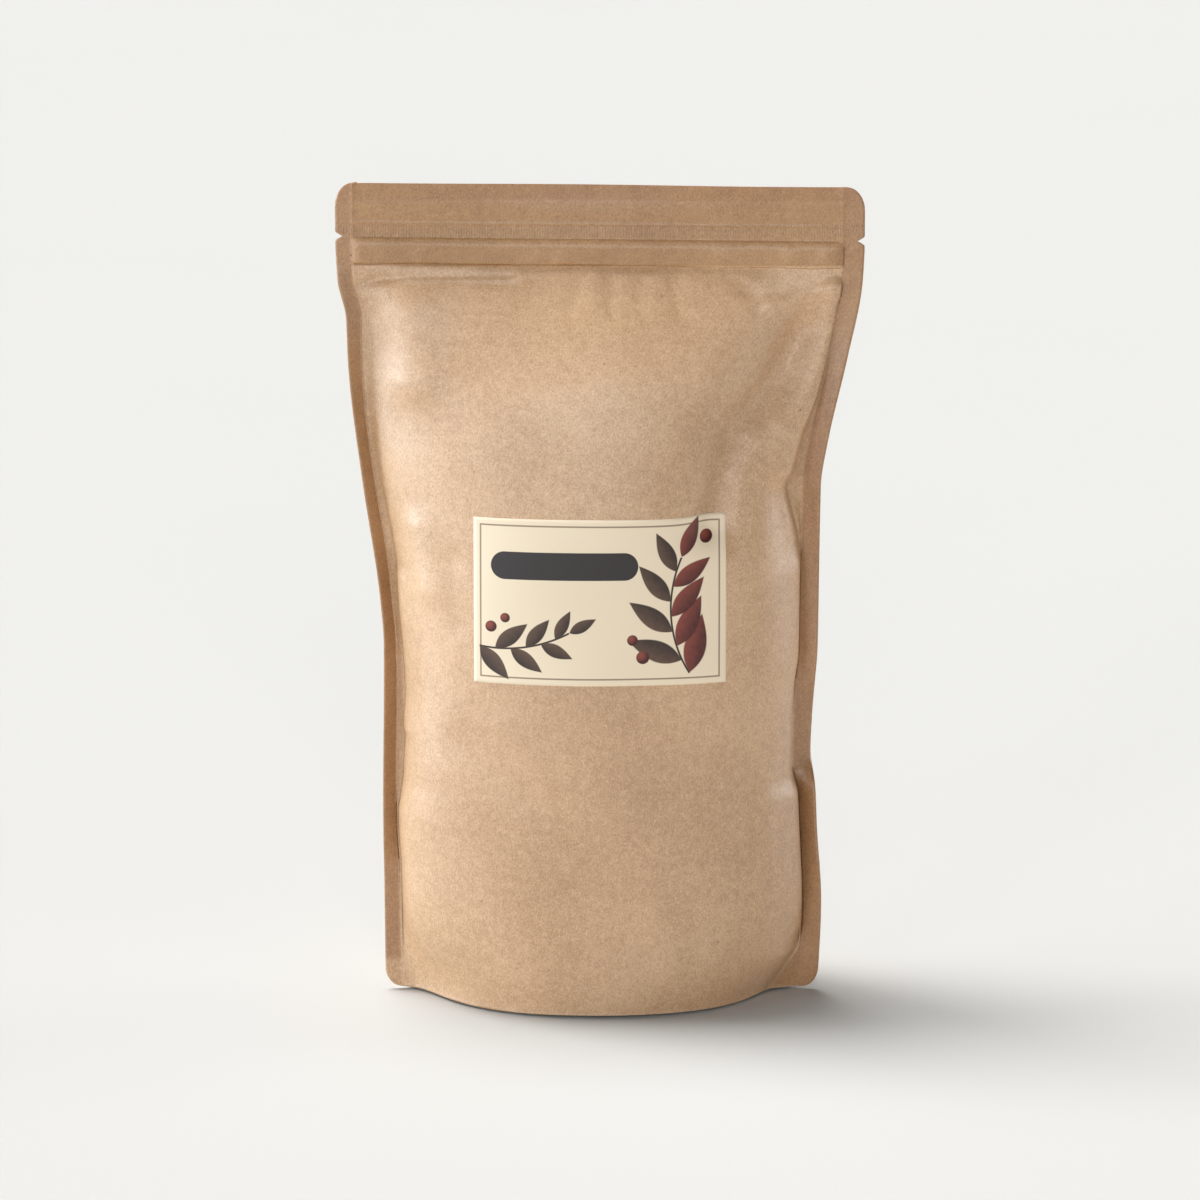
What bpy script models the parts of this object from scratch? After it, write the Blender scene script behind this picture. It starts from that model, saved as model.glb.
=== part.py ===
"""A filled and heat-sealed stand-up pouch of kraft laminate, standing on its opened bottom gusset.

Metres, +Z up. The origin is the middle of the footprint, on the surface that the pouch stands on.
The labelled front panel faces -Y, and +X is to the right of someone who looks at the label.
Curves are lists of (height, value) pairs in millimetres or degrees, read through smooth_curve.
"""

import math

import bmesh
import bpy
import numpy as np

MM = 0.001

# Before filling, the pouch is 180 mm wide and about 290 mm tall, with a 45 + 45 mm bottom gusset.
FLAT_WIDTH = 180 * MM
STANDING_HEIGHT = 284 * MM
CORNER_RADIUS = 8 * MM
FILM = 0.35 * MM
LAYER_GAP = 0.3 * MM

# The edges of the side seals once the pouch is full, from the middle of the pouch outwards.
LEFT, RIGHT = -1, 1
SEAL_WIDTH = {LEFT: 5.6 * MM, RIGHT: 7.2 * MM}
SEAL_EDGE = {
    LEFT: ((0, 75), (60, 75.2), (105, 74.6), (125, 74.4), (140, 75.4), (182, 81.2), (224, 85.9),
           (238, 86.4), (251, 89.4), (262, 90)),
    RIGHT: ((0, 76), (32, 77), (60, 75.2), (75, 74.5), (86, 73), (97, 73.4), (125, 75.1), (180, 75.6),
            (196, 78), (224, 84.2), (251, 89.4), (262, 90)),
}
# The side seals bend out of their plane, towards the front where the angle is positive.
SEAL_BEND = {
    LEFT: ((0, 0), (20, 10), (42, 14), (56, 32), (108, 34), (140, 44), (205, 42), (232, 20), (256, 0)),
    RIGHT: ((0, 4), (30, 16), (72, 28), (84, -22), (104, -14), (122, 14), (200, 24), (240, 8), (256, 0)),
}

# Each panel swells from the seals to its middle, and a flat facet lies beside each seal.
FRONT, BACK = -1, 1
SWELL = {
    FRONT: ((0, 36), (20, 37.5), (60, 39), (100, 38.6), (140, 36.2), (180, 31.2), (210, 24.6), (235, 14.5),
            (250, 5.4), (256.3, 0)),
    BACK: ((0, 36), (20, 37.8), (60, 39.7), (100, 39), (140, 36), (180, 30.4), (210, 23.6), (235, 13.6),
           (250, 5), (256.3, 0)),
}
FACET_WIDTH = {
    (FRONT, LEFT): ((0, 1), (66, 0.8), (78, 3.4), (108, 4.6), (150, 3.6), (200, 2.2), (245, 0.8)),
    (FRONT, RIGHT): ((0, 4.5), (16, 0.8), (152, 0.8), (180, 5.8), (245, 0.8)),
    (BACK, LEFT): ((0, 4), (16, 0.8), (120, 0.8), (150, 3.4), (190, 0.8)),
    (BACK, RIGHT): ((0, 2), (60, 0.8), (84, 3), (110, 0.8)),
}
FACET_LEAN = ((0, 4), (20, 20), (60, 34), (183, 30), (256, 10))
# The share of a cross-section's turning that is kept for its shoulders.
SHOULDER_SHARE = ((0, 0.6), (120, 0.68), (200, 0.55), (256, 0.3))
# Towards the foot the cross-section turns back and meets the seals without a corner.
SOFT_FOOT_HEIGHT = 22 * MM
SOFT_FOOT_RETURN = 0.9

# The flat header over the filled body, with a tear notch in each side and the strips that press shut.
CREASE_HEIGHT = 256.3 * MM
HEADER_DROP = 0.9 * MM
HEADER_DROP_START = 200 * MM
NOTCH_HEIGHT = 265.6 * MM
NOTCH_DEPTH = 2.5 * MM
NOTCH_HALF_MOUTH = 1.6 * MM
ZIP_LOW = 257.2 * MM
ZIP_HIGH = 263.4 * MM
ZIP_LENGTH = 160 * MM
ZIP_SWELL = 1.05 * MM
ZIP_SWELL_RAMP = 0.6 * MM
ZIP_FLANGE = 0.35 * MM
ZIP_RAIL = 0.7 * MM
ZIP_LIP = 0.4 * MM

LABEL_WIDTH = 87 * MM
LABEL_HEIGHT = 57 * MM
LABEL_CENTRE = 147 * MM
LABEL_THICK = 0.3 * MM
LABEL_COLUMNS = 13
LABEL_ROWS = 9

# The gusset is sealed inside the foot of both panels, turns over a crest and lies on the ground between
# them. Its two ends rise towards the side seals. These curves run from the middle (0) to either end (1).
GUSSET_END = {LEFT: 60 * MM, RIGHT: 58 * MM}
GUSSET_COLUMNS = 29
GUSSET_SEAL_TOP = ((0, 7.5), (0.5, 8.5), (0.75, 14), (0.92, 24), (1, 32))
GUSSET_FLOOR = ((0, 0), (0.62, 0), (0.82, 7), (0.94, 19), (1, 30))
GUSSET_CLEARANCE = 0.2 * MM
GUSSET_CREST_RISE = 0.8 * MM
GUSSET_CREST_REACH = 1.4 * MM
GUSSET_SLOPE_REACH = 13 * MM

# The contents as one bulk: (height, share of the inner length, share of the inner depth) of each loop.
FILL_CLEARANCE = 1 * MM
FILL_FOOT = ((1, 0.46, 0.55), (6, 0.47, 0.78), (11, 0.48, 0.94), (16, 0.6, 1), (32, 0.76, 1), (47, 0.9, 1))
FILL_BODY = (61, 75, 86, 97, 125, 155, 183, 197)
FILL_DOME = ((204, 0.93, 0.86), (209, 0.7, 0.6), (211, 0.3, 0.25))

# Heights of a panel's rows: close together round the corners, the crease, the zip and the notches.
FOOT_ROWS = (0, 0.7, 2.3, 4.8, 8, 12, 17, 24)
BODY_ROWS = (32, 40, 49, 61, 75, 86, 97, 111, 125, 140, 155, 169, 183, 197, 210, 223, 235, 244, 251, 255.4)
HEADER_ROWS = (256.3, 256.6, 257.2, 263.4, 264, 265.6, 267.2, 270, 276, 279.2, 281.7, 283.3, 284)
HALF_COLUMNS = 11
PROFILE_SAMPLES = 61
STEEPEST_TURN = 2.2

KRAFT = (0.52, 0.35, 0.20, 1)
LABEL_PAPER = (0.74, 0.62, 0.45, 1)
CLEAR_PLASTIC = (0.85, 0.85, 0.84, 1)
BEAN_BROWN = (0.045, 0.022, 0.015, 1)


def clear_scene():
    for obj in list(bpy.data.objects):
        bpy.data.objects.remove(obj)


def material(name, colour, roughness):
    """A plain, non-metallic Principled finish."""
    made = bpy.data.materials.new(name)
    made.use_nodes = True
    shader = made.node_tree.nodes["Principled BSDF"]
    shader.inputs["Base Color"].default_value = colour
    shader.inputs["Roughness"].default_value = roughness
    shader.inputs["Metallic"].default_value = 0
    return made


def add_object(name, mesh_data, finish):
    """Turn a bmesh into a smooth-shaded object with one finish."""
    mesh = bpy.data.meshes.new(name)
    mesh_data.to_mesh(mesh)
    mesh_data.free()
    mesh.shade_smooth()
    mesh.materials.append(finish)
    obj = bpy.data.objects.new(name, mesh)
    bpy.context.scene.collection.objects.link(obj)
    return obj


def smooth_curve(points, at):
    """Read the curve through (position, value) pairs that is smooth and never overshoots them."""
    position, value = np.array(points, float).T
    step = np.diff(position)
    slope = np.diff(value) / step
    product = slope[:-1] * slope[1:]
    same_way = product > 0
    inner = np.where(same_way, 2 * product / np.where(same_way, slope[:-1] + slope[1:], 1), 0)
    tangent = np.concatenate([slope[:1], inner, slope[-1:]])
    at = np.clip(at, position[0], position[-1])
    i = np.clip(np.searchsorted(position, at) - 1, 0, len(step) - 1)
    t = (at - position[i]) / step[i]
    rise = (value[i + 1] - value[i]) * t * t * (3 - 2 * t)
    leaving = t * (1 - t) ** 2 * step[i] * tangent[i]
    arriving = t * t * (t - 1) * step[i] * tangent[i + 1]
    return value[i] + rise + leaving + arriving


def curve_mm(points, at):
    """Read a curve of millimetres at a place in metres."""
    return smooth_curve(points, at / MM) * MM


def curve_angle(points, at):
    """Read a curve of degrees, in radians, at a place in metres."""
    return math.radians(smooth_curve(points, at / MM))


def straight_mm(points, at):
    """Read straight runs between (position, value) pairs of millimetres at a place in metres."""
    position, value = np.array(points, float).T
    return np.interp(at / MM, position, value) * MM


def band(value, low, high, ramp):
    """1 between low and high, fading to 0 over a ramp on both sides."""
    return np.clip(np.minimum(value - low, high - value) / ramp + 1, 0, 1)


def edge_inset(height):
    """How far the round corners and the tear notches take the outer edge in."""
    into_corner = np.clip(CORNER_RADIUS - min(height, STANDING_HEIGHT - height), 0, CORNER_RADIUS)
    rounding = CORNER_RADIUS - math.sqrt(CORNER_RADIUS**2 - into_corner**2)
    notch = NOTCH_DEPTH * max(1 - abs(height - NOTCH_HEIGHT) / NOTCH_HALF_MOUTH, 0)
    return rounding + notch


def seal_section(side, height):
    """The outer and the inner edge of a side seal at one height, as (x, y) pairs."""
    bend = curve_angle(SEAL_BEND[side], height)
    full_width = SEAL_WIDTH[side]
    hinge_x = curve_mm(SEAL_EDGE[side], height) - full_width * math.cos(bend)
    width = full_width - edge_inset(height)
    outer = (side * (hinge_x + width * math.cos(bend)), FRONT * width * math.sin(bend))
    least_width = 1 * MM
    inner = (side * (hinge_x - max(least_width - width, 0)), 0)
    return outer, inner


def turning(u, height):
    """How far the surface has turned, from the middle of a panel (u = 0) to its shoulder (u = 1)."""
    share = smooth_curve(SHOULDER_SHARE, height / MM)
    turned_back = SOFT_FOOT_RETURN * math.exp(-((height / SOFT_FOOT_HEIGHT) ** 2))
    return ((1 - share) * u + share * u**3) * (1 - turned_back * u**6)


def half_profile(chord, depth, height):
    """Half a cross-section, from the middle of a panel to its shoulder: distances out and forward.

    The turning is scaled until the half-section is as deep as asked over its chord.
    """
    u = np.linspace(0, 1, PROFILE_SAMPLES)
    turn = turning(u, height)
    low, high = 0.0, STEEPEST_TURN
    for _ in range(40):
        scale = (low + high) / 2
        steepness = np.sum(np.sin(scale * turn)) / np.sum(np.cos(scale * turn))
        if steepness < depth / chord:
            low = scale
        else:
            high = scale
    out = np.cumsum(np.cos(scale * turn))
    back = np.cumsum(np.sin(scale * turn))
    columns = np.linspace(0, 1, HALF_COLUMNS)
    out = np.interp(columns, u, (out - out[0]) / (out[-1] - out[0]) * chord)
    back = np.interp(columns, u, (back - back[0]) / (back[-1] - back[0]))
    return out, depth * (1 - back)


def zip_swell(height):
    """How far the header stands out over the strips that press shut."""
    return ZIP_SWELL * band(height, ZIP_LOW, ZIP_HIGH, ZIP_SWELL_RAMP)


def half_section(panel, side, height):
    """A panel's mid-surface at one height, from its middle to the outer edge of one seal: (x, y) pairs."""
    outer, inner = seal_section(side, height)
    swell = curve_mm(SWELL[panel], height)
    width = straight_mm(FACET_WIDTH[panel, side], height)
    lean = curve_angle(FACET_LEAN, height)
    facet_out = abs(inner[0]) - width * math.cos(lean)
    facet_forward = min(width * math.sin(lean), swell / 2)
    out, forward = half_profile(facet_out, swell - facet_forward, height)
    forward += facet_forward + zip_swell(height)
    return [(side * a, panel * b) for a, b in zip(out, forward)] + [inner, outer]


def section(panel, height):
    """A panel's mid-surface at one height, from the left seal to the right, as an array of x and y."""
    left = half_section(panel, LEFT, height)
    right = half_section(panel, RIGHT, height)
    return np.array(left[::-1] + right[1:])


def header_shift(x, height):
    """The header hangs a little lower on the right than on the left."""
    share = np.clip((height - HEADER_DROP_START) / (CREASE_HEIGHT - HEADER_DROP_START), 0, 1)
    return -HEADER_DROP * share**2 * x / (FLAT_WIDTH / 2)


def offset_path(path, distance):
    """A path moved sideways by a distance that stays even round its bends, to its left if positive."""
    runs = np.diff(path, axis=0)
    runs /= np.linalg.norm(runs, axis=1, keepdims=True)
    heading = np.vstack([runs[:1], runs]) + np.vstack([runs, runs[-1:]])
    left = np.stack([-heading[:, 1], heading[:, 0]], 1)
    return path + 2 * distance * left / np.sum(heading**2, axis=1, keepdims=True)


def add_sheet(name, lower, upper, finish):
    """A closed thin sheet between two grids of points, split into triangles alike on both faces."""
    work = bmesh.new()
    faces = [[[work.verts.new(point) for point in row] for row in grid] for grid in (lower, upper)]
    for rows in faces:
        for low, high in zip(rows, rows[1:]):
            for a, b, c, d in zip(low, low[1:], high[1:], high):
                work.faces.new((a, b, c))
                work.faces.new((a, c, d))
    rims = []
    for rows in faces:
        first, last = rows[0], rows[-1]
        rims.append(first + [row[-1] for row in rows[1:-1]] + last[::-1] + [row[0] for row in rows[-2:0:-1]])
    for quad in zip(rims[0], rims[0][1:] + rims[0][:1], rims[1][1:] + rims[1][:1], rims[1]):
        work.faces.new(quad)
    bmesh.ops.recalc_face_normals(work, faces=work.faces)
    return add_object(name, work, finish)


def panel_rows(panel, distance):
    """Rows of points at a distance outside a panel's mid-surface."""
    rows = []
    for height_mm in FOOT_ROWS + BODY_ROWS + HEADER_ROWS:
        height = height_mm * MM
        moved = offset_path(section(panel, height), panel * distance)
        rows.append([(x, y, height + header_shift(x, height)) for x, y in moved])
    return rows


def add_panel(name, panel, finish):
    """A front or back panel, half a gap clear of the plane in which it meets the other."""
    inner = LAYER_GAP / 2
    add_sheet(name, panel_rows(panel, inner), panel_rows(panel, inner + FILM), finish)


def body_contour(panel, height):
    """The part of a section between the side seals, as an array of x and y."""
    return section(panel, height)[2:-2]


def panel_depth(panel, x, height):
    """How far a panel's mid-surface stands in front of the seal plane, between its rows of points."""
    rows = [row * MM for row in FOOT_ROWS + BODY_ROWS]
    above = next(i for i in range(1, len(rows)) if rows[i] >= height)
    depths = [abs(np.interp(x, *body_contour(panel, rows[i]).T)) for i in (above - 1, above)]
    return np.interp(height, rows[above - 1:above + 1], depths)


def add_label(finish):
    """The paper label, laid over the swell of the front panel."""
    inner = LAYER_GAP / 2 + FILM + LAYER_GAP
    grids = [[], []]
    for height in np.linspace(-LABEL_HEIGHT / 2, LABEL_HEIGHT / 2, LABEL_ROWS) + LABEL_CENTRE:
        across = np.linspace(-LABEL_WIDTH / 2, LABEL_WIDTH / 2, LABEL_COLUMNS)
        path = np.array([(x, FRONT * panel_depth(FRONT, x, height)) for x in across])
        for grid, distance in zip(grids, (inner, inner + LABEL_THICK)):
            grid.append([(x, y, height) for x, y in offset_path(path, FRONT * distance)])
    add_sheet("label", *grids, finish)


def gusset_half(panel, x, share):
    """The underside of the gusset at one x, from the foot of one panel to the middle: (y, z) pairs."""
    seal_top = smooth_curve(GUSSET_SEAL_TOP, share) * MM
    floor = smooth_curve(GUSSET_FLOOR, share) * MM
    inwards = LAYER_GAP / 2 + FILM + GUSSET_CLEARANCE
    foot = panel_depth(panel, x, 0) - inwards
    half_way = panel_depth(panel, x, seal_top / 2) - inwards
    top = panel_depth(panel, x, seal_top) - inwards
    crest_reach = min(GUSSET_CREST_REACH, top / 3)
    slope_reach = min(GUSSET_SLOPE_REACH, top * 0.7)
    half = [
        (foot, 0),
        (half_way, seal_top / 2),
        (top, seal_top),
        (top - crest_reach / 2, seal_top + GUSSET_CREST_RISE),
        (top - crest_reach, seal_top),
        (top - slope_reach, floor),
    ]
    return [(panel * y, z) for y, z in half]


def add_gusset(finish):
    """The folded bottom sheet, whose flat middle is what the pouch rests on."""
    lower, upper = [], []
    for x in np.linspace(-GUSSET_END[LEFT], GUSSET_END[RIGHT], GUSSET_COLUMNS):
        share = abs(x) / GUSSET_END[LEFT if x < 0 else RIGHT]
        floor = (0, smooth_curve(GUSSET_FLOOR, share) * MM)
        path = gusset_half(FRONT, x, share) + [floor] + gusset_half(BACK, x, share)[::-1]
        lower.append([(x, y, z) for y, z in path])
        upper.append([(x, y, max(z, 0)) for y, z in offset_path(np.array(path), FILM)])
    add_sheet("bottom_gusset", lower, upper, finish)


def fill_loop(height_mm, length_share, depth_share):
    """One level of the contents: the inner contour of both panels, drawn in."""
    height = height_mm * MM
    front = body_contour(FRONT, height)
    back = body_contour(BACK, height)[::-1]
    half_length = (front[-1, 0] - front[0, 0]) / 2
    half_depth = np.abs(front[:, 1]).max()
    shares = (
        length_share * (1 - FILL_CLEARANCE / half_length),
        depth_share * (1 - FILL_CLEARANCE / half_depth),
    )
    return [(x * shares[0], y * shares[1], height) for x, y in np.concatenate([front, back])]


def add_fill(finish):
    """The contents: loops of points joined into one closed body with a domed top."""
    levels = FILL_FOOT + tuple((height, 1, 1) for height in FILL_BODY) + FILL_DOME
    work = bmesh.new()
    loops = [[work.verts.new(point) for point in fill_loop(*level)] for level in levels]
    for low, high in zip(loops, loops[1:]):
        for quad in zip(low, low[1:] + low[:1], high[1:] + high[:1], high):
            work.faces.new(quad)
    work.faces.new(loops[0][::-1])
    work.faces.new(loops[-1])
    bmesh.ops.recalc_face_normals(work, faces=work.faces)
    return add_object("bean_fill", work, finish)


def add_strip(name, profile, finish):
    """A zip strip: a profile in y and z, drawn out along the header and tilted with it."""
    work = bmesh.new()
    middle = (ZIP_LOW + ZIP_HIGH) / 2
    ends = []
    for x in (-ZIP_LENGTH / 2, ZIP_LENGTH / 2):
        drop = header_shift(x, CREASE_HEIGHT)
        ends.append([work.verts.new((x, y, middle + z + drop)) for y, z in profile])
    for quad in zip(ends[0], ends[0][1:] + ends[0][:1], ends[1][1:] + ends[1][:1], ends[1]):
        work.faces.new(quad)
    work.faces.new(ends[0][::-1])
    work.faces.new(ends[1])
    bmesh.ops.recalc_face_normals(work, faces=work.faces)
    return add_object(name, work, finish)


def add_zip(finish):
    """The two strips: a rail on the front one sits in the channel of the back one."""
    outer = LAYER_GAP / 2 + ZIP_SWELL - LAYER_GAP
    face = outer - ZIP_FLANGE
    half_height = (ZIP_HIGH - ZIP_LOW) / 2 - ZIP_SWELL_RAMP
    rail = ZIP_RAIL / 2
    rail_tip = face - LAYER_GAP
    rail_profile = [
        (-outer, -half_height), (-face, -half_height), (-face, -rail), (rail_tip, -rail),
        (rail_tip, rail), (-face, rail), (-face, half_height), (-outer, half_height),
    ]
    lip_in = rail + LAYER_GAP
    lip_out = lip_in + ZIP_LIP
    lip_tip = -(face - LAYER_GAP)
    channel_profile = [
        (outer, -half_height), (outer, half_height), (face, half_height), (face, lip_out),
        (lip_tip, lip_out), (lip_tip, lip_in), (face, lip_in), (face, -lip_in),
        (lip_tip, -lip_in), (lip_tip, -lip_out), (face, -lip_out), (face, -half_height),
    ]
    add_strip("zip_rail", rail_profile, finish)
    add_strip("zip_channel", channel_profile, finish)


def main():
    clear_scene()
    kraft = material("kraft", KRAFT, 0.62)
    add_panel("front_panel", FRONT, kraft)
    add_panel("back_panel", BACK, kraft)
    add_gusset(kraft)
    add_zip(material("zip_plastic", CLEAR_PLASTIC, 0.4))
    add_label(material("label_paper", LABEL_PAPER, 0.55))
    add_fill(material("beans", BEAN_BROWN, 0.6))


main()
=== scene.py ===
import math

import bpy
import numpy as np
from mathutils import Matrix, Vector


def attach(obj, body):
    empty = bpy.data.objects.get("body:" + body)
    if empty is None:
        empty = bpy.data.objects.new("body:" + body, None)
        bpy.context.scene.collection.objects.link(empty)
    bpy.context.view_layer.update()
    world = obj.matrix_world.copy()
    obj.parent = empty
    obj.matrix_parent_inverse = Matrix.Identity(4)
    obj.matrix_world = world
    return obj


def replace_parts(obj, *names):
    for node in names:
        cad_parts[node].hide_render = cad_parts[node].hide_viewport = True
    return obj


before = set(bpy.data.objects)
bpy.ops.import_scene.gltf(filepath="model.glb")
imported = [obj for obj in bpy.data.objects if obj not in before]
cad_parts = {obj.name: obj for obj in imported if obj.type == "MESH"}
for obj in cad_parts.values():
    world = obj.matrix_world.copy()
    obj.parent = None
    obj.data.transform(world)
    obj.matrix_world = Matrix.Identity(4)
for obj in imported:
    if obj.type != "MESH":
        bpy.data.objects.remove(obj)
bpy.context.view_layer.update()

mm = 0.001  # every length below is in millimetres, and becomes metres where a mesh is made
perMetre = 1000


# Camera first

camera = {
    "elevation": 13.0,     # degrees above the floor
    "distance": 2000.0,    # from the point it looks at
    "lookHeight": 139.5,
    "focalLength": 174.0,
    "sensor": 36.0,
    "farthest": 50,        # metres
}


def addCamera():
    data = bpy.data.cameras.new("camera")
    data.lens = camera["focalLength"]
    data.sensor_width = camera["sensor"]
    data.sensor_fit = "HORIZONTAL"
    data.clip_end = camera["farthest"]
    obj = bpy.data.objects.new("camera", data)
    tilt = math.radians(camera["elevation"])
    away = camera["distance"] * mm
    obj.location = (0, -away * math.cos(tilt), camera["lookHeight"] * mm + away * math.sin(tilt))
    obj.rotation_euler = (math.pi / 2 - tilt, 0, 0)
    bpy.context.scene.collection.objects.link(obj)
    bpy.context.scene.camera = obj


addCamera()
print("camera set")


# Shader maths: a wire is a socket that can be added, multiplied and compared

class Wire:
    def __init__(self, tree, socket=None):
        self.tree = tree
        self.socket = socket

    def node(self, kind, settings=None, inputs=None, output=0):
        made = self.tree.nodes.new(kind)
        for key, value in (settings or {}).items():
            if key == "stops":
                while len(made.color_ramp.elements) < len(value):
                    made.color_ramp.elements.new(1)
                for stop, (place, colour) in zip(made.color_ramp.elements, value):
                    stop.position = place
                    stop.color = colour
            else:
                setattr(made, key, value)
        for key, value in (inputs or {}).items():
            if isinstance(value, Wire):
                self.tree.links.new(value.socket, made.inputs[key])
            else:
                made.inputs[key].default_value = value
        return Wire(self.tree, made.outputs[output])

    def calc(self, operation, *others):
        values = dict(enumerate((self,) + others))
        return self.node("ShaderNodeMath", {"operation": operation}, values)

    def __add__(self, other):
        return self.calc("ADD", other)

    def __radd__(self, other):
        return self.calc("ADD", other)

    def __mul__(self, other):
        if self.socket.type == "RGBA":
            settings = {"data_type": "RGBA", "blend_type": "MULTIPLY"}
            return self.node("ShaderNodeMix", settings, {0: 1.0, 6: self, 7: other}, 2)
        return self.calc("MULTIPLY", other)

    def __rmul__(self, other):
        return self.calc("MULTIPLY", other)

    def __sub__(self, other):
        return self.calc("SUBTRACT", other)

    def __rsub__(self, other):
        return self.node("ShaderNodeMath", {"operation": "SUBTRACT"}, {0: other, 1: self})

    def __truediv__(self, other):
        return self.calc("DIVIDE", other)

    def __abs__(self):
        return self.calc("ABSOLUTE")

    def __lt__(self, other):
        return self.calc("LESS_THAN", other)

    def __gt__(self, other):
        return self.calc("GREATER_THAN", other)

    def smooth(self, low, high):
        # 0 at low, 1 at high, with soft ends
        names = {"Value": self, "From Min": low, "From Max": high}
        return self.node("ShaderNodeMapRange", {"interpolation_type": "SMOOTHSTEP"}, names)

    def top(self, other):
        return self.calc("MAXIMUM", other)

    def low(self, other):
        return self.calc("MINIMUM", other)

    def blend(self, first, second):
        # this wire chooses between two colours
        settings = {"data_type": "RGBA"}
        return self.node("ShaderNodeMix", settings, {0: self, 6: first, 7: second}, 2)

    def noise(self, scale, detail=2.0, roughness=0.5, stretch=(1, 1, 1)):
        # this wire is a place; stretch makes the grain longer along an axis
        sizes = {"Vector": self, "Scale": stretch}
        place = self.node("ShaderNodeMapping", {"vector_type": "TEXTURE"}, sizes)
        names = {"Vector": place, "Scale": scale, "Detail": detail, "Roughness": roughness}
        return self.node("ShaderNodeTexNoise", {"noise_dimensions": "3D"}, names)

    def axis(self, name):
        return self.node("ShaderNodeSeparateXYZ", {}, {0: self}, name)


white = (1, 1, 1, 1)


def rgb(red, green, blue):
    # sRGB out of 255 to the linear colour that a socket takes
    shares = [value / 255 for value in (red, green, blue)]
    linear = [s / 12.92 if s <= 0.04045 else ((s + 0.055) / 1.055) ** 2.4 for s in shares]
    return (*linear, 1)


def newMaterial(name, roughness):
    made = bpy.data.materials.new(name)
    made.use_nodes = True
    shader = made.node_tree.nodes["Principled BSDF"]
    shader.inputs["Roughness"].default_value = roughness
    start = Wire(made.node_tree)
    place = start.node("ShaderNodeTexCoord", output="Object")
    return made, shader, place


def plug(wire, shader, name):
    wire.tree.links.new(wire.socket, shader.inputs[name])


def roughBy(wire, shader, spread):
    # roughness follows a pattern, on both sides of the material's own value
    middle = shader.inputs["Roughness"].default_value
    plug(middle + spread * (wire - 0.5), shader, "Roughness")


def press(relief, shader, strength=1.0):
    # relief is a height in metres
    names = {"Height": relief, "Strength": strength, "Distance": 1.0}
    plug(relief.node("ShaderNodeBump", {}, names), shader, "Normal")


# Pouch: nearly the same curves as the solids', read at a much finer grid

pouch = {
    "height": 284.0,
    "width": 180.0,
    "cornerRadius": 8.0,
    "cornerWidth": 0.78,   # the corners are narrower than they are tall
    "film": 0.22,          # thickness of the laminate
    "sealGap": 0.02,       # half the space between the sealed faces
    "leastSeal": 1.0,      # width of the seal where a notch cuts into it
    "crease": 256.3,       # where the body meets the flat header
    "headerDrop": 0.9,     # the header hangs lower on the right by this at its edge
    "dropStart": 200.0,
    "notchHeight": 265.6,
    "notchDepth": 2.5,
    "notchMouth": 1.6,
    "notchSharpness": 1.25,
    "footHeight": 22.0,    # how far up the foot's flat corners reach
    "foldFade": (0.5, 5),  # folds come in over this distance from the seals
    "headerFade": 1.6,     # and the header's relief over this one
}
left, right = -1, 1
front, back = -1, 1
sealWidth = {left: 5.6, right: 7.2}
sealEdge = {
    left: ((0, 75), (60, 75.2), (105, 74.6), (125, 74.4), (140, 75.4), (182, 81.2), (224, 85.9),
           (238, 86.4), (251, 89.4), (262, 90)),
    right: ((0, 76), (32, 77), (60, 75.2), (75, 74.5), (86, 73), (97, 73.4), (125, 75.1), (180, 75.6),
            (196, 78), (224, 84.2), (251, 89.4), (262, 90)),
}
sealBend = {  # degrees towards the front
    left: ((0, 0), (20, 2), (42, 8), (56, 32), (108, 40), (140, 46), (205, 44), (232, 32), (256, 0)),
    right: ((0, 4), (30, 26), (72, 32), (84, -22), (104, -14), (122, 14), (200, 24), (240, 8), (256, 0)),
}
sealWaver = {"turn": 3.0, "length": 9.0, "comesIn": (10, 60), "goesOut": (215, 250)}  # small bends on top
swell = {
    front: ((0, 36), (20, 37.5), (60, 39), (100, 38.6), (140, 36.2), (180, 31.2), (210, 24.6), (235, 14.5),
            (250, 5.4), (256.3, 0)),
    back: ((0, 36), (20, 37.8), (60, 39.7), (100, 39), (140, 36), (180, 30.4), (210, 23.6), (235, 13.6),
           (250, 5), (256.3, 0)),
}
facetWidth = {
    (front, left): ((0, 1), (66, 0.8), (78, 3.4), (108, 4.6), (150, 3.6), (200, 2.2), (245, 0.8)),
    (front, right): ((0, 11), (15, 0.8), (152, 0.8), (180, 5.8), (245, 0.8)),
    (back, left): ((0, 4), (16, 0.8), (120, 0.8), (150, 3.4), (190, 0.8)),
    (back, right): ((0, 2), (60, 0.8), (84, 3), (110, 0.8)),
}
facetLean = ((0, 21), (20, 20), (60, 34), (183, 30), (256, 10))
shoulderShare = ((0, 0.6), (120, 0.68), (200, 0.55), (256, 0.3))
footReturn = {(front, left): 0.9, (front, right): 0.5, (back, left): 0.9, (back, right): 0.9}
turning = {
    "shoulder": 3,         # powers: how late the panel turns into its shoulder
    "foot": 6,             # and turns back again at the foot
    "steepest": 2.2,       # radians
    "samples": 121,
    "halvings": 36,        # of the search for the turn that gives the depth
}

# How far the header stands out from the seal plane: zip, ridge, pressed band, top seal
headerRelief = ((256.3, 0.1), (256.7, 1.1), (257.2, 1.2), (260.6, 1.3), (262.4, 1.33),
                (264.9, 0.5), (265.5, 0.07), (267, 0.03), (270, 0.03), (270.4, 0.4), (271.1, 0.12),
                (274.5, 0.28), (278, 0.14), (278.8, 0.02), (284, 0))

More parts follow.
